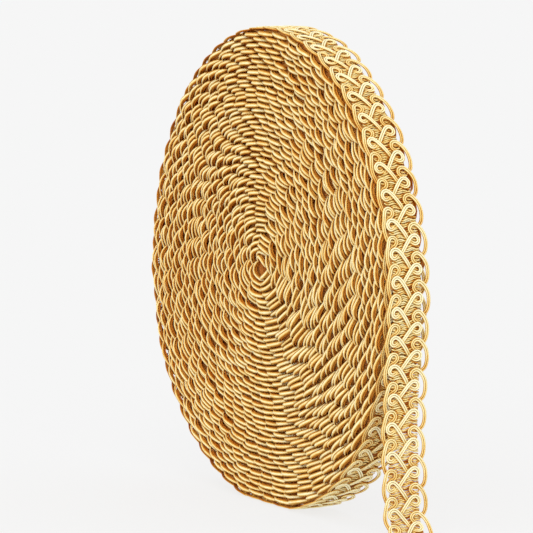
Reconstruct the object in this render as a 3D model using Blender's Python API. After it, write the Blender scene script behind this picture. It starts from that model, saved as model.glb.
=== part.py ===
# A flat roll of gold gimp braid. It stands on its rim, and its loose end hangs from the rim to the
# surface and lies on it. Metres, +Z up. The roll's axis runs along Y, its front face looks along -Y,
# and the origin is the middle of the flat spot that the roll rests on.

import math

import bmesh
import bpy
from mathutils import Vector

MM = 0.001

# The braid, as laid flat
BRAID_WIDTH = 13.5 * MM
TURN_THICKNESS = 1.5 * MM  # the turns lie loosely on each other
SCALLOP_DEPTH = 1.2 * MM  # how far the edge falls back between two scallops
RELIEF = 0.4 * MM  # from the top of a loop down to the ground beside it
EDGE_DROP = 0.35 * MM  # the scalloped edge lies lower than the loops
FIRST_LOOP = -1.8 * MM  # the front side's first loop: it lies back on the roll by this much
BACK_LAG = 0.5 * MM  # the back side's loops lie this much more than half a repeat further down
SCALLOP_LAG = 0.6 * MM  # a scallop's peak lies this much further down than its own loop

# The roll
ROLL_RADIUS = 66.8 * MM
EYE_RADIUS = 2.8 * MM
EYE_DEPTH = 2.0 * MM
# Its own weight makes it hang lower than its eye. Each row is lobes, cosine part, sine part.
OUT_OF_ROUND = (
    (1, 1.8 * MM, -1.34 * MM),
    (2, -0.35 * MM, 0.03 * MM),
    (3, -0.3 * MM, -0.75 * MM),
    (4, -0.2 * MM, 0.21 * MM),
)
FLAT_SAG = 1.1 * MM  # how far the flat spot is pressed in
SAG_REACH = 4  # power that keeps the pressing to the outer turns
PRESSED_FADE = 9.0 * MM  # the relief comes back over this length beside the flat spot

# The front and back faces show the winding as one spiral ridge
RIDGE_TURNS = 14
RIDGE_DEPTH = 0.9 * MM
FACE_INSET = 0.35 * MM  # the ridge lies lower than the outermost scallops
FACE_UNEVENNESS = 0.25 * MM
WAVES_PER_TURN = 3.15  # of the faces' unevenness; not whole, so that it differs from turn to turn
REPEATS_PER_TURN = 55  # pattern repeats in the outermost turn
STEPS_PER_REPEAT = 4
RIDGE_STEPS_PER_TURN = 44

# The loose end
SEAT_GAP = 0.4 * MM  # room between the loose end and the roll beside and above it
END_THICKNESS = 1.0 * MM
END_REPEATS = 13
END_TWIST = math.radians(4)  # it turns its outer side to the front on the way down
END_DRIFT = 1.2 * MM  # it sways to the front by this much
DRIFT_AT = 0.67  # share of the drop where it sways most
TWISTED_SHARE = 0.6  # the twist is done after this share of the drop
BEND_RADIUS = 7.0 * MM

GOLD = (0.78, 0.55, 0.20, 1.0)
PALE_GOLD = (0.86, 0.66, 0.30, 1.0)

RIM_STEPS = REPEATS_PER_TURN * STEPS_PER_REPEAT
PITCH = 2 * math.pi * (ROLL_RADIUS - TURN_THICKNESS / 2) / REPEATS_PER_TURN
HALF_WIDTH = BRAID_WIDTH / 2
COLUMNS = (0.0, 0.21, 0.39, 0.61, 0.79, 1.0)  # across, front to back, as shares of the width
DOWN = 1.5 * math.pi


def smooth(x):
    x = min(1.0, max(0.0, x))
    return x * x * (3 - 2 * x)


def clear_scene():
    for old in list(bpy.data.objects):
        bpy.data.objects.remove(old)


def braid_material(name, colour):
    material = bpy.data.materials.new(name)
    material.use_nodes = True
    shader = material.node_tree.nodes["Principled BSDF"]
    shader.inputs["Base Color"].default_value = colour
    shader.inputs["Roughness"].default_value = 0.6
    shader.inputs["Metallic"].default_value = 0.0
    return material


def from_loop(along, side):
    """Repeats from the first loop of the front side (-1) or the back side (1)."""
    lag = PITCH / 2 + BACK_LAG if side > 0 else 0.0
    return (along - FIRST_LOOP - lag) / PITCH


def edge_half_width(along, side):
    """Distance from the braid's middle to its scalloped edge."""
    share = from_loop(along - SCALLOP_LAG, side)
    return HALF_WIDTH - SCALLOP_DEPTH * (1 - abs(math.cos(math.pi * share)))


def across_section(along, relief):
    """(across, drop) of each column of the outer side: across from the middle, + to the back, and
    drop below the loops' tops."""
    section = []
    for column in COLUMNS:
        if column in (0.0, 1.0):
            side = -1 if column == 0.0 else 1
            section.append((side * edge_half_width(along, side), EDGE_DROP * relief))
            continue
        side = -1 if column < 0.5 else 1
        hill = 0.5 * (1 + math.cos(2 * math.pi * from_loop(along, side)))
        section.append(((column - 0.5) * BRAID_WIDTH, RELIEF * (1 - hill) * relief))
    return section


def out_of_round(angle):
    return sum(c * math.cos(n * angle) + s * math.sin(n * angle) for n, c, s in OUT_OF_ROUND) / ROLL_RADIUS


def rim_radius(angle):
    """The outermost turn loses one thickness on its way round from angle 0 to a full turn."""
    return (ROLL_RADIUS - TURN_THICKNESS * angle / (2 * math.pi)) * (1 + out_of_round(angle))


CENTRE_HEIGHT = rim_radius(DOWN) - FLAT_SAG


def pressed(angle):
    """1 on the flat spot, fading to 0 beside it."""
    beside = abs(angle - DOWN) * ROLL_RADIUS - math.sqrt(rim_radius(DOWN) ** 2 - CENTRE_HEIGHT**2)
    return 1 - smooth(beside / PRESSED_FADE)


def in_roll(radius, angle, y):
    """The point at a radius from the roll's axis, with the flat spot pressed in."""
    rim = rim_radius(angle)
    below = -math.sin(angle)
    reach = CENTRE_HEIGHT / (rim * below) if rim * below > CENTRE_HEIGHT else 1.0
    radius *= 1 - (1 - reach) * (radius / rim) ** SAG_REACH
    return Vector((radius * math.cos(angle), y, CENTRE_HEIGHT + radius * math.sin(angle)))


def ridge_point(turns, crest, side):
    """A point on the face's spiral, turns in from the rim. The valley starts under the outermost
    turn, and the crest lies halfway to the valley one turn further out, or to the rim."""
    ridge_pitch = (ROLL_RADIUS - TURN_THICKNESS - EYE_RADIUS) / RIDGE_TURNS
    valley = ROLL_RADIUS - TURN_THICKNESS - ridge_pitch * turns
    outward = min(ridge_pitch, TURN_THICKNESS + (ridge_pitch - TURN_THICKNESS) * turns)
    angle = 2 * math.pi * (turns % 1)
    radius = (valley + (outward / 2 if crest else 0)) * (1 + out_of_round(angle))
    wave = math.sin(2 * math.pi * WAVES_PER_TURN * turns + side)
    depth = FACE_INSET + FACE_UNEVENNESS * wave
    if not crest:
        depth += RIDGE_DEPTH * outward / ridge_pitch
    return in_roll(radius, angle, side * (HALF_WIDTH - depth))


def add_face(mesh, rim, side):
    """One face of the roll: the spiral of valley and crest, joined to the rim's edge and closed by
    the eye at the centre. rim holds the edge's points from angle 0 to a full turn."""
    steps = RIDGE_STEPS_PER_TURN
    count = steps * RIDGE_TURNS
    valley = [rim[-1]]
    valley += [mesh.verts.new(ridge_point(n / steps, False, side)) for n in range(1, count + 1)]
    crest = [mesh.verts.new(ridge_point(n / steps, True, side)) for n in range(count + 1)]
    faces = []
    for n in range(count):
        faces.append((valley[n], valley[n + 1], crest[n + 1], crest[n]))
    for n in range(steps, count):
        faces.append((crest[n], crest[n + 1], valley[n + 1 - steps], valley[n - steps]))
    per_step = RIM_STEPS // steps
    half = per_step // 2
    for n in range(steps):
        edge = rim[n * per_step : (n + 1) * per_step + 1]
        faces.append((crest[n], crest[n + 1], edge[half]))
        for k in range(per_step):
            corner = crest[n] if k < half else crest[n + 1]
            faces.append((corner, edge[k + 1], edge[k]))
    hub = mesh.verts.new(in_roll(0.0, 0.0, side * (HALF_WIDTH - FACE_INSET - EYE_DEPTH)))
    for n in range(count - steps, count):
        faces.append((hub, valley[n + 1], valley[n]))
    faces.append((hub, crest[count], valley[count]))
    faces.append((hub, valley[count - steps], crest[count]))
    for face in faces:
        mesh.faces.new(face)
    return crest[0]


def make_roll():
    mesh = bmesh.new()
    rows = []
    for m in range(RIM_STEPS + 1):
        angle = 2 * math.pi * m / RIM_STEPS
        relief = 1 - pressed(angle)
        section = across_section(-m * PITCH / STEPS_PER_REPEAT, relief)
        rows.append(
            [mesh.verts.new(in_roll(rim_radius(angle) - drop, angle, across)) for across, drop in section]
        )
    for row, following in zip(rows, rows[1:]):
        for k in range(len(COLUMNS) - 1):
            mesh.faces.new((row[k], row[k + 1], following[k + 1], following[k]))
    front_crest = add_face(mesh, [row[0] for row in rows], -1)
    back_crest = add_face(mesh, [row[-1] for row in rows], 1)
    # The cut across the outermost turn, where the loose end leaves the roll
    mesh.faces.new([*rows[0], back_crest, *reversed(rows[-1]), front_crest])
    bmesh.ops.recalc_face_normals(mesh, faces=mesh.faces)
    return mesh


def end_frame(along):
    """Middle of the inner side, outward normal and across direction at a length from the top."""
    straight = CENTRE_HEIGHT - SEAT_GAP - BEND_RADIUS
    bend = BEND_RADIUS * math.pi / 2
    share = min(1.0, along / straight)
    twist = END_TWIST * smooth(share / TWISTED_SHARE)
    sway = -END_DRIFT * math.sin(math.pi / 2 * share / DRIFT_AT) ** 2
    outward = Vector((math.cos(twist), -math.sin(twist), 0))
    across = Vector((math.sin(twist), math.cos(twist), 0))
    up = Vector((0, 0, 1))
    inner = rim_radius(0.0) - TURN_THICKNESS + SEAT_GAP
    top = Vector((inner, 0, CENTRE_HEIGHT - SEAT_GAP))
    place = top + Vector((0, sway, -min(along, straight)))
    if along <= straight:
        return place, outward, across
    turned = min(along - straight, bend) / BEND_RADIUS
    place += outward * BEND_RADIUS * (1 - math.cos(turned)) - up * BEND_RADIUS * math.sin(turned)
    place += outward * max(0.0, along - straight - bend)
    place.z = max(0.0, place.z)
    return place, outward * math.cos(turned) + up * math.sin(turned), across


def make_loose_end():
    mesh = bmesh.new()
    rings = []
    for m in range(END_REPEATS * STEPS_PER_REPEAT + 1):
        along = m * PITCH / STEPS_PER_REPEAT
        place, outward, across = end_frame(along)
        section = across_section(along + SEAT_GAP, 1.0)
        outer = [place + across * a + outward * (END_THICKNESS - drop) for a, drop in section]
        inner = [place + across * section[-1][0], place + across * section[0][0]]
        rings.append([mesh.verts.new(point) for point in outer + inner])
    for ring, following in zip(rings, rings[1:]):
        for k in range(len(ring)):
            after = (k + 1) % len(ring)
            mesh.faces.new((ring[k], ring[after], following[after], following[k]))
    mesh.faces.new(rings[0])
    mesh.faces.new(rings[-1])
    bmesh.ops.recalc_face_normals(mesh, faces=mesh.faces)
    return mesh


def add_object(name, mesh, material, collection):
    data = bpy.data.meshes.new(name)
    mesh.to_mesh(data)
    mesh.free()
    data.materials.append(material)
    part = bpy.data.objects.new(name, data)
    collection.objects.link(part)


def main():
    clear_scene()
    collection = bpy.data.collections.new("gimp_braid_trim")
    bpy.context.scene.collection.children.link(collection)
    add_object("braid_roll", make_roll(), braid_material("wound_braid", GOLD), collection)
    add_object("loose_end", make_loose_end(), braid_material("loose_braid", PALE_GOLD), collection)


main()
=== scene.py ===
import math

import bmesh
import bpy
import numpy as np
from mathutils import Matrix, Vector


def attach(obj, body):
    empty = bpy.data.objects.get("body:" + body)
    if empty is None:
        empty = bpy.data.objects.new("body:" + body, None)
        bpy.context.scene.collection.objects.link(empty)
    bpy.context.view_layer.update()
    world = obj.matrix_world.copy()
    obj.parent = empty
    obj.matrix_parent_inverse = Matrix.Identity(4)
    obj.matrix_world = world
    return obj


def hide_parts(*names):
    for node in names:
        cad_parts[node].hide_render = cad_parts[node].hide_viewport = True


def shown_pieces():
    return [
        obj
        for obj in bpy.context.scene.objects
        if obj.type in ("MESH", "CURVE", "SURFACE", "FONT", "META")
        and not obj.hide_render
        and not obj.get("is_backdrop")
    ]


# A flat roll of gold gimp braid. The outermost turn and the loose end are made cord by cord. The
# inner turns show only their scalloped edges, over one long wound strip of the braid's ground.

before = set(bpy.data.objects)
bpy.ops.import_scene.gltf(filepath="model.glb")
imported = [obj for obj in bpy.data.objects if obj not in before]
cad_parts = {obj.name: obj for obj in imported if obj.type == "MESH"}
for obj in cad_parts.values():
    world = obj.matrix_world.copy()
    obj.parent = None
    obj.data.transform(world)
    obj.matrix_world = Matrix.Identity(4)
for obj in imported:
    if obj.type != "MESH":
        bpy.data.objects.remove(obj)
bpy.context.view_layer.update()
mm = 0.001
print("frame loaded")

# Sizes of the braid and the roll, as in the solids
braid = {
    "width": 13.5 * mm,
    "turn": 1.5 * mm,  # from one turn to the next; they lie loosely on each other
    "repeatsPerTurn": 55,  # in the outermost turn
    "firstLoop": -1.8 * mm,  # the first front loop: it lies back on the roll by this much
    "lowest": 0.02 * mm,  # above the surface that it rests on
}
roll = {
    "radius": 66.8 * mm,
    "eye": 2.8 * mm,
    "sag": 1.1 * mm,  # its own weight flattens it below by this much
    "sagReach": 4,  # the power with which that fades towards the eye
    # It hangs lower than its eye, too. Each is lobes, cosine part, sine part.
    "lobes": (
        (1, 1.8 * mm, -1.34 * mm), (2, -0.35 * mm, 0.03 * mm),
        (3, -0.3 * mm, -0.75 * mm), (4, -0.2 * mm, 0.21 * mm),
    ),
}
looseEnd = {
    "repeats": 13,
    "thickness": 1.0 * mm,
    "seatGap": 0.4 * mm,
    "settle": 6.0 * mm,  # it comes off the roll's curve over this length
    "twist": math.radians(4),  # all of it at this share of the way down
    "twistedShare": 0.6,
    "drift": 1.2 * mm,  # to the front, most at this share of the way down
    "driftAt": 0.67,
    "bend": 7.0 * mm,  # radius of the bend onto the surface
}
turnRepeats = braid["repeatsPerTurn"]
middle = roll["radius"] - braid["turn"] / 2  # of the outermost turn's thickness, at its start
pitch = 2 * math.pi * middle / turnRepeats
up = np.array((0.0, 0.0, 1.0))


def smooth(x):
    x = np.clip(x, 0.0, 1.0)
    return x * x * (3 - 2 * x)


def outOfRound(angle):
    swells = [c * np.cos(n * angle) + s * np.sin(n * angle) for n, c, s in roll["lobes"]]
    return sum(swells) / roll["radius"]


def rimRadius(angle):
    return (roll["radius"] - braid["turn"] * angle / (2 * math.pi)) * (1 + outOfRound(angle))


centreHeight = float(rimRadius(1.5 * math.pi)) - roll["sag"]


def turnedAt(along):
    # How far round the roll a place is, by how far back it is from where the loose end leaves
    inside = np.maximum(middle**2 - braid["turn"] * along / math.pi, 0.0)
    return (middle - np.sqrt(inside)) * 2 * math.pi / braid["turn"]


def alongAt(turned):
    # The other way about
    return middle * turned - braid["turn"] * turned**2 / (4 * math.pi)


def onRoll(along, across, height):
    # along runs back from where the end leaves the roll, height up from the thickness's middle
    turned = turnedAt(along)
    angle = np.mod(turned, 2 * math.pi)
    radius = (middle - braid["turn"] * turned / (2 * math.pi) + height) * (1 + outOfRound(angle))
    rim = rimRadius(angle)
    below = -rim * np.sin(angle)
    reach = np.where(below > centreHeight, centreHeight / np.maximum(below, centreHeight), 1.0)
    radius *= 1 - (1 - reach) * (radius / rim) ** roll["sagReach"]
    return np.stack((radius * np.cos(angle), across, centreHeight + radius * np.sin(angle)), axis=-1)


def onLooseEnd(down, across, height):
    bend = looseEnd["bend"]
    straight = centreHeight - bend
    share = np.clip(down / straight, 0.0, 1.0)
    twist = looseEnd["twist"] * smooth(share / looseEnd["twistedShare"])
    sway = -looseEnd["drift"] * np.sin(math.pi / 2 * share / looseEnd["driftAt"]) ** 2
    outward = np.stack((np.cos(twist), -np.sin(twist), 0 * twist), axis=-1)
    sideways = np.stack((np.sin(twist), np.cos(twist), 0 * twist), axis=-1)
    inner = float(rimRadius(0.0)) - braid["turn"]
    ease = smooth(down / looseEnd["settle"])[:, None]
    turned = (np.clip(down - straight, 0.0, bend * math.pi / 2) / bend)[:, None]
    further = np.maximum(down - straight - bend * math.pi / 2, 0.0)[:, None]
    place = np.stack((inner + 0 * down, sway, centreHeight - np.clip(down, None, straight)), axis=-1)
    place += outward * (looseEnd["seatGap"] * ease + bend * (1 - np.cos(turned)) + further)
    place -= up * bend * np.sin(turned)
    facing = outward * np.cos(turned) + up * np.sin(turned)
    lift = height[:, None] + braid["turn"] / 2 * (1 - ease) + looseEnd["thickness"] / 2 * ease
    return place + sideways * across[:, None] + facing * lift


def placeBraid(points):
    # points: down the loose end (negative: back along the roll), across to the back, height
    down, across, height = points.T
    wound = onRoll(np.maximum(-down, 0.0), across, height)
    hung = onLooseEnd(np.maximum(down, 0.0), across, height)
    placed = np.where(down[:, None] > 0, hung, wound)
    placed[:, 2] = np.maximum(placed[:, 2], braid["lowest"])
    return placed


# One half of a repeat, in millimetres: out from the middle to its own edge, down from its own
# loop, and height. The other half is its mirror image, about half a repeat further down.
cords = {
    "strand": 0.255,  # radius of each of a cord's two strands, across and in thickness
    "thick": 0.255,
    "spread": 0.275,  # from the cord's middle to each strand
    "stations": 34,
    "sides": 6,
    "backLag": 0.5,  # the back half lies this much more than half a repeat further down
    "loop": (
        (-2.80, 4.40, -0.28), (-1.45, 4.00, -0.26), (-0.35, 2.45, 0.10), (0.80, 0.85, 0.25),
        (1.85, -0.45, 0.28), (2.75, -1.08, 0.28), (3.70, -1.00, 0.26), (4.30, -0.20, 0.20),
        (4.15, 0.70, 0.14), (3.40, 1.12, 0.04), (2.50, 0.80, -0.14), (1.80, 0.20, -0.27),
    ),
    "hook": (
        (4.30, -0.70, -0.27), (3.50, -1.50, -0.25), (2.70, -1.95, -0.12), (2.12, -2.85, -0.02),
        (2.50, -3.85, 0.06), (3.55, -4.25, 0.14), (4.50, -3.75, 0.20), (5.20, -2.60, 0.16),
        (5.75, -1.15, 0.06), (6.02, 0.45, -0.03), (5.92, 2.00, -0.12), (5.50, 3.30, -0.20),
        (4.90, 4.10, -0.26), (4.20, 4.60, -0.30),
    ),
    # The loops and hooks lie this much off the middle, to the front; the scallops don't
    "lean": 0.5,
    "leanFrom": (4.4, 5.8),
    # How light each path is; painted light and shade on its tops, free sides and groove, and each mm
    # of height
    "light": {"loop": 0.66, "hook": 0.5},
    "crown": 0.3,
    "flank": -0.26,
    "groove": -0.3,
    "rise": 0.9,
    "stray": 0.13,  # how far a variant's cords stray
    "strayWaves": (3, 8),  # the two waves in which they do, in radians from end to end
    "strayShare": 0.5,  # the second wave's size beside the first's
    "variants": 5,
    "scatter": (0.1, 0.02, 0.03),  # a repeat's own stray, tilt and swell
    "seed": 3,
    "endSeed": 5,
}
# Thin flat yarns across, under the cords. A painted shadow darkens them beside a cord, and painted
# shade darkens them most in the slit where they part between a loop and the back side's next hook.
wefts = {
    "count": 13,
    "wide": 0.275,
    "thick": 0.07,
    "sides": 4,
    "stations": 20,
    "reach": 4.3,
    "lean": 0.2,
    "top": -0.08,  # the highest and the lowest of them
    "low": -0.3,
    "uneven": 0.1,  # how far one lies off its even place, and how far its ends slope
    "slope": 0.15,
    "points": 9,
    "wave": (0.25, 1.9),  # down the braid: its size, and radians a mm
    "wavePhase": (0.4, 1.2),
    "ripple": (0.07, 2.3),  # the same in height
    "light": (0.55, 0.85),
    # A painted highlight on their tops, and painted shade at both sides
    "crown": 0.1,
    "flank": -0.35,
    # The painted shadow beside a cord, out to this far from its middle, fading over the last part
    "shadow": 0.5,
    "shadowReach": 1.15,
    "shadowFade": 0.6,
    # The painted shade in the slit where they part
    "shadedSlit": (1.3, 0.9),  # its middle, down and across
    "shadedSlitSize": (0.4, 1.1),
}
# The inner turns' edges
edges = {
    "points": slice(4, 14),  # the part of the hook's path that is the scallop
    "strand": 0.27,
    "thick": 0.6,
    "spread": 0.33,
    # Beside the outermost turn's, a scallop's far end dives this much more steeply, and it is this
    # much more arched, from its root out
    "steep": 1.5,
    "arch": 1.25,
    "root": 4.6,
    "stations": 10,
    "sides": 4,
    "backInset": 1.0,  # the inner turns' back edges lie lower than the outermost turn's
    # The outer strand has a painted highlight, a thin line along its very edge, and the inner one is
    # painted as lying in its shade. Each is its own painted light, its outward side's and its inward
    # side's.
    "outer": (0.36, 0.64, -0.32),
    "inner": (0.3, 0.2, -0.18),
    # A painted highlight on top
    "crown": 0.06,
    # The scallop starts on top of the one before, and its far end dives under the next. There painted
    # shade darkens it from this far out, and is darkest this much further in.
    "diving": (-0.2, 1.6),
    "dark": 0.4,
    "darkFrom": 5.6,
    "darkOver": 1.3,
    "stray": 0.22,
    "variants": 8,
    "scatter": (0.22, 0.06, 0.07),
    "seed": 11,
}
# The inner turns are closer pleated than the outermost, and each turn's scallops slip towards the
# hollows between those of the turn outside it
nesting = {
    "pitch": 0.91,  # of the outermost turn's
    "shift": 0.5,  # of a repeat, from turn to turn
    "pull": 0.6,
    "give": 0.11,  # the most that a repeat is stretched or pleated
}
# They don't lie evenly either. Each wave is its length and how far it moves the edge along and
# across. The moves across come a little faster.
unevenness = {
    "waves": ((260.0, 0.9, 0.12), (141.0, 0.6, 0.10), (83.0, 0.4, 0.08)),
    "faster": 1.37,
}


def throughPoints(points, count, between=12):
    # A smooth curve through the points, at even steps, and how far along it each step is
    points = np.array(points, float)
    ends = np.vstack((2 * points[0] - points[1], points, 2 * points[-1] - points[-2]))
    t = np.linspace(0, 1, between, endpoint=False)[:, None]
    fine = []
    for k in range(1, len(ends) - 2):
        a, b, c, d = ends[k - 1 : k + 3]
        square, cube = a - 2.5 * b + 2 * c - d / 2, 1.5 * (b - c) + (d - a) / 2
        fine.append(b + t * (c - a) / 2 + t**2 * square + t**3 * cube)
    fine = np.vstack((*fine, points[-1:]))
    walked = np.concatenate(([0.0], np.cumsum(np.linalg.norm(np.diff(fine, axis=0), axis=1))))
    steps = np.linspace(0, walked[-1], count)
    return np.stack([np.interp(steps, walked, column) for column in fine.T], axis=-1), steps


def headings(line):
    heading = np.gradient(line, axis=0)
    return heading / np.linalg.norm(heading, axis=1)[:, None]


def around(sides):
    # Angles round a tube, from its top
    return np.arange(sides) * 2 * math.pi / sides


def aroundShades(turn, light, crown, freeSide, grooveSide, way):
    # Painted light and shade: lighter at the top, darker below, and darkest in the groove beside the
    # other strand
    sideways = way * np.sin(turn)
    beside = np.where(sideways > 0, freeSide, grooveSide)
    return light + crown * np.cos(turn) + beside * np.abs(sideways)


def markPoints(mesh, labels, columns):
    for label, values in zip(labels, columns):
        mesh.attributes.new(label, "FLOAT", "POINT").data.foreach_set("value", values)


class Flat:
    # Gathers tubes in the flat braid's millimetres, then makes them a mesh
    tip = 0.6  # a tube's two ends are this much of its size

    def __init__(self):
        self.points, self.faces, self.marks = [], [], []
        self.count = 0

    def tube(self, line, walked, turn, wide, thick, shades):
        # turn: angles of the points round it, from its top. shades: how light each of them is
        # painted, painted light and shade included
        n, sides = shades.shape
        heading = headings(line)
        side = np.cross(up, heading)
        side /= np.linalg.norm(side, axis=1)[:, None]
        over = np.cross(heading, side)
        size = np.ones((n, 1, 1))
        size[[0, -1]] = self.tip
        lifts, widths = thick * np.cos(turn)[:, None], wide * np.sin(turn)[:, None]
        spokes = lifts * over[:, None] + widths * side[:, None]
        self.points += [(line[:, None] + size * spokes).reshape(-1, 3), line[:1], line[-1:]]
        marks = np.stack(np.broadcast_arrays(walked[:, None], turn / 2 / math.pi, shades), axis=-1)
        self.marks += [marks.reshape(-1, 3), marks[0, :1], marks[-1, :1]]
        first = self.count
        for i in range(n - 1):
            for j in range(sides):
                a, b = first + i * sides + j, first + i * sides + (j + 1) % sides
                self.faces.append((a, b, b + sides, a + sides))
        head, tail, last = first + n * sides, first + n * sides + 1, first + (n - 1) * sides
        for j in range(sides):
            k = (j + 1) % sides
            self.faces += [(head, first + k, first + j), (tail, last + j, last + k)]
        self.count += n * sides + 2

    def doubled(self, points, kind, shadesOf):
        # A cord of two strands side by side along the points
        line, walked = throughPoints(points, kind["stations"])
        beside = np.cross(up, headings(line))
        turn = around(kind["sides"])
        for way in (-1, 1):
            strand = line + way * kind["spread"] * beside
            self.tube(strand, walked, turn, kind["strand"], kind["thick"], shadesOf(line, turn, way))
        return line

    def mesh(self, name):
        made = bpy.data.meshes.new(name)
        made.from_pydata(np.vstack(self.points), [], self.faces)
        markPoints(made, ("length", "round", "shade"), np.vstack(self.marks).T)
        made.shade_smooth()
        return made


def ownSide(points, side, rng, stray):
    # From out, down, height to down, across, height, with a smooth stray of its own
    out, down, height = np.array(points, float).T
    share = np.linspace(0, 1, len(out))
    slow, quick = cords["strayWaves"]
    quickShare = cords["strayShare"]
    strays = []
    for _ in range(2):
        phases = rng.uniform(0, 2 * math.pi, 2)
        wave = np.sin(slow * share + phases[0]) + quickShare * np.sin(quick * share + phases[1])
        strays.append(stray * wave / (1 + quickShare))
    lower = pitch / mm / 2 + cords["backLag"] if side > 0 else 0.0
    nearest, furthest = cords["leanFrom"]
    lean = cords["lean"] * (1 - smooth((out - nearest) / (furthest - nearest)))
    return np.stack((down + strays[0] + lower, side * (out + strays[1]) - lean, height), axis=-1)


def cordShades(light):
    # Painted light and shade round each strand, and lighter the higher it lies over the others
    def shadesOf(line, turn, way):
        shades = aroundShades(turn, light, cords["crown"], cords["flank"], cords["groove"], way)
        return shades + cords["rise"] * line[:, 2:]

    return shadesOf


def weftPoints(k, rng):
    # The number k weft's own path: down, across, height
    even = (k + 0.5) / wefts["count"] * pitch / mm - pitch / mm / 2
    down = even + rng.uniform(-wefts["uneven"], wefts["uneven"])
    slope = rng.uniform(-wefts["slope"], wefts["slope"]) / wefts["reach"]
    low = rng.uniform(wefts["low"], wefts["top"])
    across = np.linspace(-wefts["reach"], wefts["reach"], wefts["points"])
    (wave, waveRate), (ripple, rippleRate) = wefts["wave"], wefts["ripple"]
    waved = wave * np.sin(across * waveRate + rng.uniform(*wefts["wavePhase"]))
    height = low + ripple * np.cos(across * rippleRate + k)
    return np.stack((down + slope * across + waved, across - wefts["lean"], height), axis=-1)


def fullRepeat(name, rng):
    flat = Flat()
    laid = []  # the middles of the cords that lie over the ground
    for side in (-1, 1):
        for path, light in cords["light"].items():
            points = ownSide(cords[path], side, rng, cords["stray"])
            line = flat.doubled(points, cords, cordShades(light))
            line = line[line[:, 2] > wefts["top"], :2]
            laid += [line + (shift * pitch / mm, 0) for shift in (-1, 0, 1)]
    laid = np.vstack(laid)
    turn = around(wefts["sides"])
    for k in range(wefts["count"]):
        line, walked = throughPoints(weftPoints(k, rng), wefts["stations"])
        # Painted shadow on each weft beside the cords, and painted shade in the slit
        away = np.linalg.norm(line[:, None, :2] - laid, axis=2).min(axis=1)
        shaded = wefts["shadow"] * smooth((wefts["shadowReach"] - away) / wefts["shadowFade"])
        fromSlit = np.linalg.norm((line[:, :2] - wefts["shadedSlit"]) / wefts["shadedSlitSize"], axis=1)
        shaded += np.exp(-fromSlit**2)
        light = rng.uniform(*wefts["light"])
        shades = aroundShades(turn, light, wefts["crown"], wefts["flank"], wefts["flank"], 1)
        flat.tube(line, walked, turn, wefts["wide"], wefts["thick"], shades - shaded[:, None])
    return flat.mesh(name)


def edgeRepeat(name, rng, side):
    def shadesOf(line, turn, way):
        # A painted highlight along the outer strand's edge, and painted shade where the far end dives
        diving = smooth(np.linspace(*edges["diving"], len(line)))[:, None]
        deep = smooth((edges["darkFrom"] - np.abs(line[:, 1:2])) / edges["darkOver"]) * diving
        light, outward, inward = edges["outer" if way == side else "inner"]
        return aroundShades(turn, light, edges["crown"], outward, inward, side) - edges["dark"] * deep

    flat = Flat()
    root = edges["root"]
    path = [
        (root + edges["arch"] * (out - root), down, edges["steep"] * height)
        for out, down, height in cords["hook"][edges["points"]]
    ]
    flat.doubled(ownSide(path, side, rng, edges["stray"]), edges, shadesOf)
    return flat.mesh(name)


# Materials

def srgb(code):
    parts = [int(code[i : i + 2], 16) / 255 for i in (1, 3, 5)]
    return (*[p / 12.92 if p <= 0.04045 else ((p + 0.055) / 1.055) ** 2.4 for p in parts], 1.0)


def addNode(tree, kind, links=(), **settings):
    # links: (socket, value or output socket); settings: the node's own properties
    node = tree.nodes.new(kind)
    for key, value in settings.items():
        setattr(node, key, value)
    for socket, value in links:
        if isinstance(value, bpy.types.NodeSocket):
            tree.links.new(value, node.inputs[socket])
        else:
            node.inputs[socket].default_value = value
    return node


# Rayon gimp cord: silky thread wrapped round a soft core. Its ramp paints a pale highlight on the
# tops and painted shade, amber to red-brown, between the cords, from the shade mark. The ground is
# the same rayon, not wrapped round a core, and a little duller.
rayon = {
    # Each ramp runs from painted shade, dark red-brown, to a pale painted highlight
    "rimStops": (
        (0.0, "#964C0A"), (0.25, "#CC8420"), (0.55, "#E6C876"), (0.8, "#EEDEA6"), (1.0, "#F2EAC2"),
    ),
    "faceStops": (
        (0.0, "#9E4206"), (0.3, "#BC6812"), (0.6, "#DEA84A"), (0.85, "#F4DA92"), (1.0, "#FAF0C4"),
    ),
    "groundStops": ((0.0, "#C8661C"), (0.5, "#EAAC58"), (1.0, "#F6DC94")),
    "roughness": 0.5,
    "gloss": 0.12,
    "faceGloss": 0.06,  # the inner turns' edges were rubbed duller
    "wrap": 0.5,  # mm between the wrapping thread's lines; the real 0.15 mm is too fine to show
    "wrapDepth": 0.08 * mm,
    "wrapBump": 0.3,
    "patchScale": 450.0,  # unevenly dyed patches, about 2 mm across
    "patchDetail": 3.0,
    # How much the patches, each repeat's tint and the thread's lines lighten it, and what they add
    # up to on average, which is taken off
    "patches": 0.4,
    "tints": 0.14,
    "wraps": 0.28,
    "mean": 0.34,
}


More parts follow.
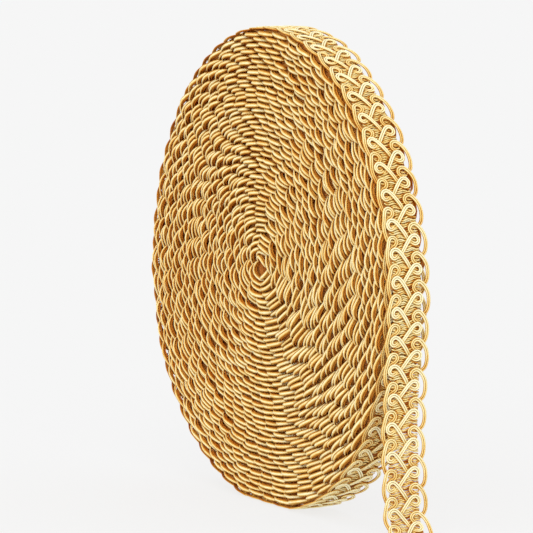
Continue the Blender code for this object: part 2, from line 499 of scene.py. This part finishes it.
def yarnMaterial(name, stops, gloss):
    made = bpy.data.materials.new(name)
    made.use_nodes = True
    tree = made.node_tree
    shader = tree.nodes["Principled BSDF"]
    # shade: the painted light and shade, with each piece's own lightness
    shade, tint, length, turn = (
        addNode(tree, "ShaderNodeAttribute", attribute_name=label).outputs["Fac"]
        for label in ("shade", "tint", "length", "round")
    )
    spot = addNode(tree, "ShaderNodeTexCoord").outputs["Object"]
    patch = addNode(
        tree, "ShaderNodeTexNoise",
        [("Vector", spot), ("Scale", rayon["patchScale"]), ("Detail", rayon["patchDetail"])],
    )
    wraps = addNode(
        tree, "ShaderNodeMath", [(0, length), (1, 1 / rayon["wrap"]), (2, turn)],
        operation="MULTIPLY_ADD",
    )
    wave = addNode(
        tree, "ShaderNodeMath", [(0, wraps.outputs[0]), (1, 0.5)], operation="PINGPONG"
    ).outputs[0]
    level = addNode(
        tree, "ShaderNodeMath", [(0, shade), (1, rayon["mean"])], operation="SUBTRACT"
    ).outputs[0]
    for value, amount in ((patch.outputs["Fac"], "patches"), (tint, "tints"), (wave, "wraps")):
        part = [(0, value), (1, rayon[amount]), (2, level)]
        level = addNode(tree, "ShaderNodeMath", part, operation="MULTIPLY_ADD").outputs[0]
    ramp = addNode(tree, "ShaderNodeValToRGB", [("Fac", level)])
    while len(ramp.color_ramp.elements) < len(stops):
        ramp.color_ramp.elements.new(0.5)
    for element, (place, code) in zip(ramp.color_ramp.elements, stops):
        element.position = place
        element.color = srgb(code)
    tree.links.new(ramp.outputs["Color"], shader.inputs["Base Color"])
    bump = addNode(
        tree, "ShaderNodeBump",
        [("Height", wave), ("Strength", rayon["wrapBump"]), ("Distance", rayon["wrapDepth"])],
    )
    tree.links.new(bump.outputs["Normal"], shader.inputs["Normal"])
    shader.inputs["Roughness"].default_value = rayon["roughness"]
    shader.inputs["Specular IOR Level"].default_value = gloss
    return made


rimCord = yarnMaterial("rayonGimpCordPale", rayon["rimStops"], rayon["gloss"])
edgeCord = yarnMaterial("rayonGimpCordGold", rayon["faceStops"], rayon["faceGloss"])
groundYarn = yarnMaterial("braidGroundYarn", rayon["groundStops"], rayon["faceGloss"])
print("materials made")


# Geometry Nodes: one of several like motifs at each repeat along a line

def repeatTree():
    tree = bpy.data.node_groups.new("repeatAlongBraid", "GeometryNodeTree")
    face = tree.interface
    for name, kind in (
        ("Geometry", "Geometry"), ("Motifs", "Collection"), ("Repeats", "Int"), ("Start", "Float"),
        ("Pitch", "Float"), ("Stray", "Float"), ("Tilt", "Float"), ("Swell", "Float"),
        ("Seed", "Int"), ("Finish", "Material"),
    ):
        face.new_socket(name, in_out="INPUT", socket_type="NodeSocket" + kind)
    face.new_socket("Geometry", in_out="OUTPUT", socket_type="NodeSocketGeometry")
    given = addNode(tree, "NodeGroupInput").outputs
    step = addNode(tree, "ShaderNodeCombineXYZ", [("X", given["Pitch"])]).outputs[0]
    start = addNode(tree, "ShaderNodeCombineXYZ", [("X", given["Start"])]).outputs[0]
    line = addNode(
        tree, "GeometryNodeMeshLine",
        [("Count", given["Repeats"]), ("Start Location", start), ("Offset", step)],
    )
    motifs = addNode(
        tree, "GeometryNodeCollectionInfo",
        [("Collection", given["Motifs"]), ("Separate Children", True), ("Reset Children", True)],
    )

    def spread(amount, middle, seedStep, axes):
        # A random vector, middle give or take the amount on the named axes
        ends = []
        for operation in ("SUBTRACT", "ADD"):
            end = addNode(tree, "ShaderNodeMath", [(0, middle), (1, amount)], operation=operation)
            sockets = [(axis, end.outputs[0]) for axis in axes]
            ends.append(addNode(tree, "ShaderNodeCombineXYZ", sockets).outputs[0])
        seed = addNode(
            tree, "ShaderNodeMath", [(0, given["Seed"]), (1, seedStep)], operation="ADD"
        ).outputs[0]
        chosen = addNode(
            tree, "FunctionNodeRandomValue", [("Min", ends[0]), ("Max", ends[1]), ("Seed", seed)],
            data_type="FLOAT_VECTOR",
        )
        return chosen.outputs["Value"]

    moved = addNode(
        tree, "GeometryNodeSetPosition",
        [("Geometry", line.outputs[0]), ("Offset", spread(given["Stray"], 0.0, 0, "XY"))],
    )
    pick = addNode(tree, "FunctionNodeRandomValue", [("Seed", given["Seed"])], data_type="INT")
    # Any whole number will do: it wraps round to one of the motifs
    pick.inputs[4].default_value, pick.inputs[5].default_value = 0, 999
    placed = addNode(
        tree, "GeometryNodeInstanceOnPoints",
        [("Points", moved.outputs[0]), ("Instance", motifs.outputs[0]), ("Pick Instance", True),
         ("Instance Index", pick.outputs[2]), ("Rotation", spread(given["Tilt"], 0.0, 100, "YZ")),
         ("Scale", spread(given["Swell"], 1.0, 200, "XYZ"))],
    )
    tint = addNode(tree, "FunctionNodeRandomValue", [("Seed", given["Seed"])], data_type="FLOAT")
    marked = addNode(
        tree, "GeometryNodeStoreNamedAttribute",
        [("Geometry", placed.outputs[0]), ("Name", "tint"), ("Value", tint.outputs[1])],
        data_type="FLOAT", domain="INSTANCE",
    )
    real = addNode(tree, "GeometryNodeRealizeInstances", [("Geometry", marked.outputs[0])])
    finished = addNode(
        tree, "GeometryNodeSetMaterial",
        [("Geometry", real.outputs[0]), ("Material", given["Finish"])],
    )
    addNode(tree, "NodeGroupOutput", [("Geometry", finished.outputs[0])])
    return tree


alongBraid = repeatTree()


def motifCollection(name, meshes):
    collection = bpy.data.collections.new(name)
    for mesh in meshes:
        collection.objects.link(bpy.data.objects.new(mesh.name, mesh))
    return collection


def repeated(name, motifs, first, count, finish, scatter, seed):
    # A flat run of the braid as a plain mesh, in millimetres. first is its first front loop's
    # number, counted down the loose end; the roll's are negative.
    holder = bpy.data.objects.new(name, bpy.data.meshes.new(name))
    bpy.context.scene.collection.objects.link(holder)
    modifier = holder.modifiers.new("repeat", "NODES")
    modifier.node_group = alongBraid
    start = (braid["firstLoop"] + first * pitch) / mm
    stray, tilt, swell = scatter
    given = {
        "Motifs": motifs, "Repeats": count, "Start": start, "Pitch": pitch / mm, "Stray": stray,
        "Tilt": tilt, "Swell": swell, "Seed": seed, "Finish": finish,
    }
    for item in alongBraid.interface.items_tree:
        if item.in_out == "INPUT" and item.name in given:
            modifier[item.identifier] = given[item.name]
    bpy.context.view_layer.update()
    evaluated = holder.evaluated_get(bpy.context.evaluated_depsgraph_get())
    made = bpy.data.meshes.new_from_object(evaluated)
    bpy.data.objects.remove(holder)
    made.name = name
    return made


def cutOff(mesh, length):
    # Cuts a flat run straight across, as with scissors
    cut = bmesh.new()
    cut.from_mesh(mesh)
    bmesh.ops.bisect_plane(
        cut, geom=[*cut.verts, *cut.edges, *cut.faces], plane_co=(length / mm, 0, 0),
        plane_no=(1, 0, 0), clear_outer=True,
    )
    bmesh.ops.holes_fill(cut, edges=[edge for edge in cut.edges if edge.is_boundary])
    cut.to_mesh(mesh)
    cut.free()


def nestedPlaces(length):
    # Where each repeat lies back along the roll, down to the given length
    places = [k * pitch for k in range(turnRepeats + 1)]
    while places[-1] < length:
        outside = alongAt(turnedAt(places[-1]) - 2 * math.pi)  # the same place, one turn further out
        phase = np.interp(outside, places, np.arange(len(places)))
        off = (nesting["shift"] - phase + 0.5) % 1 - 0.5
        stretch = max(-nesting["give"], min(nesting["give"], nesting["pull"] * off))
        places.append(places[-1] + pitch * nesting["pitch"] * (1 + stretch))
    return places


def windUp(mesh, innerPlaces=None):
    # Winds a flat run onto the roll, or hangs it. innerPlaces: where the inner turns' repeats lie
    flat = np.empty(len(mesh.vertices) * 3, np.float32)
    mesh.vertices.foreach_get("co", flat)
    flat = flat.reshape(-1, 3).astype(float)
    if innerPlaces:
        numbers = -flat[:, 0] / (pitch / mm)
        flat[:, 0] = -np.interp(numbers, np.arange(len(innerPlaces)), innerPlaces) / mm
        down = flat[:, 0].copy()
        flat[:, 1] -= edges["backInset"] * (flat[:, 1] > 0)
        for k, (length, stretch, outward) in enumerate(unevenness["waves"]):
            phase = 2 * math.pi * down / length
            flat[:, 0] += stretch * np.sin(phase + k)
            flat[:, 1] += outward * np.sin(phase * unevenness["faster"] + 2 * k)
    mesh.vertices.foreach_set("co", placeBraid(flat * mm).astype(np.float32).ravel())
    mesh.update()


def addPiece(name, mesh, slot, *nodes):
    piece = bpy.data.objects.new(name, mesh)
    bpy.context.scene.collection.objects.link(piece)
    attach(piece, "root")
    if nodes:
        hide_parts(*nodes)
    return piece


# The outermost turn and the loose end, cord by cord
rng = np.random.default_rng(7)
fullRepeats = [fullRepeat(f"fullRepeat{k}", rng) for k in range(cords["variants"])]
fullMotifs = motifCollection("fullMotifs", fullRepeats)


def fullRun(name, first, count, seed):
    return repeated(name, fullMotifs, first, count, rimCord, cords["scatter"], seed)


halfTurn = turnRepeats // 2
turnHalves = {
    "outerTurn": (-halfTurn, halfTurn, ["braid_roll"]),
    "outerTurnStart": (-turnRepeats, turnRepeats - halfTurn, []),
}
for name, (first, count, nodes) in turnHalves.items():
    turnMesh = fullRun(name, first, count, cords["seed"] + count)
    windUp(turnMesh)
    addPiece(name, turnMesh, "wound_braid", *nodes)

endLength = looseEnd["repeats"] * pitch
endMesh = fullRun("looseEnd", 0, looseEnd["repeats"] + 1, cords["endSeed"])
cutOff(endMesh, endLength)
windUp(endMesh)
endPiece = addPiece("looseBraidEnd", endMesh, "loose_braid", "loose_end")
print("outermost turn and loose end made")

# The inner turns' edges, front and back, each in two pieces
totalLength = math.pi * (middle**2 - roll["eye"] ** 2) / braid["turn"]
places = nestedPlaces(totalLength)
innerRepeats = len(places) - 2 - turnRepeats
outerHalf = innerRepeats // 2
edgeHalves = {
    "Outer": (-turnRepeats - outerHalf, outerHalf),
    "Inner": (-turnRepeats - innerRepeats, innerRepeats - outerHalf),
}
for side, sideName in ((-1, "front"), (1, "back")):
    scallops = [edgeRepeat(f"{sideName}Scallop{k}", rng, side) for k in range(edges["variants"])]
    motifs = motifCollection(sideName + "Motifs", scallops)
    for part, (first, count) in edgeHalves.items():
        name, seed = sideName + part + "Edges", edges["seed"] + side
        edgeMesh = repeated(name, motifs, first, count, edgeCord, edges["scatter"], seed)
        windUp(edgeMesh, places)
        addPiece(name, edgeMesh, "wound_braid")
print("inner edges made:", innerRepeats, "repeats a side")

# The wound ground of the inner turns, one long strip: across, height and painted shade of its
# corners, lighter on top
ground = {
    "stepsPerTurn": 60,
    "corners": (
        (-4.7, 0.36, 0.4), (-4.0, 0.77, 0.6), (3.0, 0.77, 0.6), (3.7, 0.36, 0.4),
        (3.7, -0.36, 0.3), (3.0, -0.77, 0.3), (-4.0, -0.77, 0.3), (-4.7, -0.36, 0.3),
    ),
}


def groundStrip():
    turns = (middle - roll["eye"]) / braid["turn"]
    turned = np.linspace(2 * math.pi, 2 * math.pi * turns, int(turns * ground["stepsPerTurn"]))
    walked = alongAt(turned)
    corners = np.array(ground["corners"])
    sides = len(corners)
    points = np.zeros((len(walked), sides, 3))
    points[..., 0] = -walked[:, None] / mm
    points[..., 1:] = corners[:, :2]
    faces = [tuple(range(sides))[::-1]]
    for i in range(len(walked) - 1):
        for j in range(sides):
            a, b = sides * i + j, sides * i + (j + 1) % sides
            faces.append((b, a, a + sides, b + sides))
    last = sides * (len(walked) - 1)
    faces.append(tuple(range(last, last + sides)))
    mesh = bpy.data.meshes.new("woundGround")
    mesh.from_pydata(points.reshape(-1, 3), [], faces)
    shades, lengths = np.tile(corners[:, 2], len(walked)), np.repeat(walked / mm, sides)
    markPoints(mesh, ("shade", "length"), (shades, lengths))
    mesh.materials.append(groundYarn)
    return mesh


groundMesh = groundStrip()
windUp(groundMesh)
addPiece("woundGround", groundMesh, "wound_braid")
print("ground made")

# Stage: a pale floor. It is matt, and glows like a light table, so that shadows on it are faint.
stage = {"reach": 20.0, "paint": "#646464", "roughness": 0.9, "gloss": 0.0, "glow": 0.77}
reach = stage["reach"]
floorMesh = bpy.data.meshes.new("floor")
floorCorners = [(-reach, -reach, 0), (reach, -reach, 0), (reach, reach, 0), (-reach, reach, 0)]
floorMesh.from_pydata(floorCorners, [], [(0, 1, 2, 3)])
floor = bpy.data.objects.new("floor", floorMesh)
bpy.context.scene.collection.objects.link(floor)
floorFinish = bpy.data.materials.new("palePaintedFloor")
floorFinish.use_nodes = True
floorShader = floorFinish.node_tree.nodes["Principled BSDF"]
for socket, value in (
    ("Base Color", srgb(stage["paint"])), ("Roughness", stage["roughness"]),
    ("Specular IOR Level", stage["gloss"]), ("Emission Color", srgb("#FFFFFF")),
    ("Emission Strength", stage["glow"]),
):
    floorShader.inputs[socket].default_value = value
floorMesh.materials.append(floorFinish)
floor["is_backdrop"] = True

# Light: an even white room, a soft lamp above the camera's right and a broad low one on its left.
# Each lamp is its azimuth, elevation, strength and spread.
light = {
    "room": 1.0,
    "lamps": {"key": (76, 36, 0.64, 30), "front": (45, 12, 0.95, 60)},
}
world = bpy.data.worlds.new("room")
bpy.context.scene.world = world
world.use_nodes = True
background = world.node_tree.nodes["Background"]
background.inputs["Color"].default_value = srgb("#FFFFFF")
background.inputs["Strength"].default_value = light["room"]


def towards(azimuth, elevation):
    a, e = math.radians(azimuth), math.radians(elevation)
    return Vector((math.sin(a) * math.cos(e), -math.cos(a) * math.cos(e), math.sin(e)))


for name, (azimuth, elevation, strength, spreadAngle) in light["lamps"].items():
    lamp = bpy.data.objects.new(name, bpy.data.lights.new(name, "SUN"))
    lamp.data.energy = strength
    lamp.data.angle = math.radians(spreadAngle)
    lamp.rotation_mode = "QUATERNION"
    lamp.rotation_quaternion = (-towards(azimuth, elevation)).to_track_quat("-Z", "Y")
    bpy.context.scene.collection.objects.link(lamp)

# Camera at the photo's angle
view = {
    "azimuth": 60.4,
    "elevation": 6.1,
    "distance": 0.977,
    "focalPixels": 3560,
    "framePixels": 533,
    "rollAt": (280.1, 265.4),  # pixel of the middle of the roll's eye
    "sensor": 36,
    "clip": (0.01, 100),
}
rollCentre = Vector((0, 0, centreHeight))
back = towards(view["azimuth"], view["elevation"])
camera = bpy.data.objects.new("camera", bpy.data.cameras.new("camera"))
bpy.context.scene.collection.objects.link(camera)
bpy.context.scene.camera = camera
camera.location = rollCentre + back * view["distance"]
camera.rotation_mode = "QUATERNION"
right = Vector((0, 0, 1)).cross(back).normalized()
upward = back.cross(right)
offset = [
    (at - view["framePixels"] / 2) / view["focalPixels"] * view["distance"] for at in view["rollAt"]
]
aim = rollCentre - right * offset[0] + upward * offset[1]
camera.rotation_quaternion = (aim - camera.location).to_track_quat("-Z", "Y")
camera.data.sensor_width = view["sensor"]
camera.data.lens = view["sensor"] * view["focalPixels"] / view["framePixels"]
camera.data.clip_start, camera.data.clip_end = view["clip"]
bpy.context.scene.view_settings.view_transform = "Standard"
print("floor, light and camera made")

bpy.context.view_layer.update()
counts = {
    piece.name: sum(len(face.vertices) - 2 for face in piece.data.polygons)
    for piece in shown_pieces() if piece.type == "MESH"
}
print("triangles:", counts, sum(counts.values()))
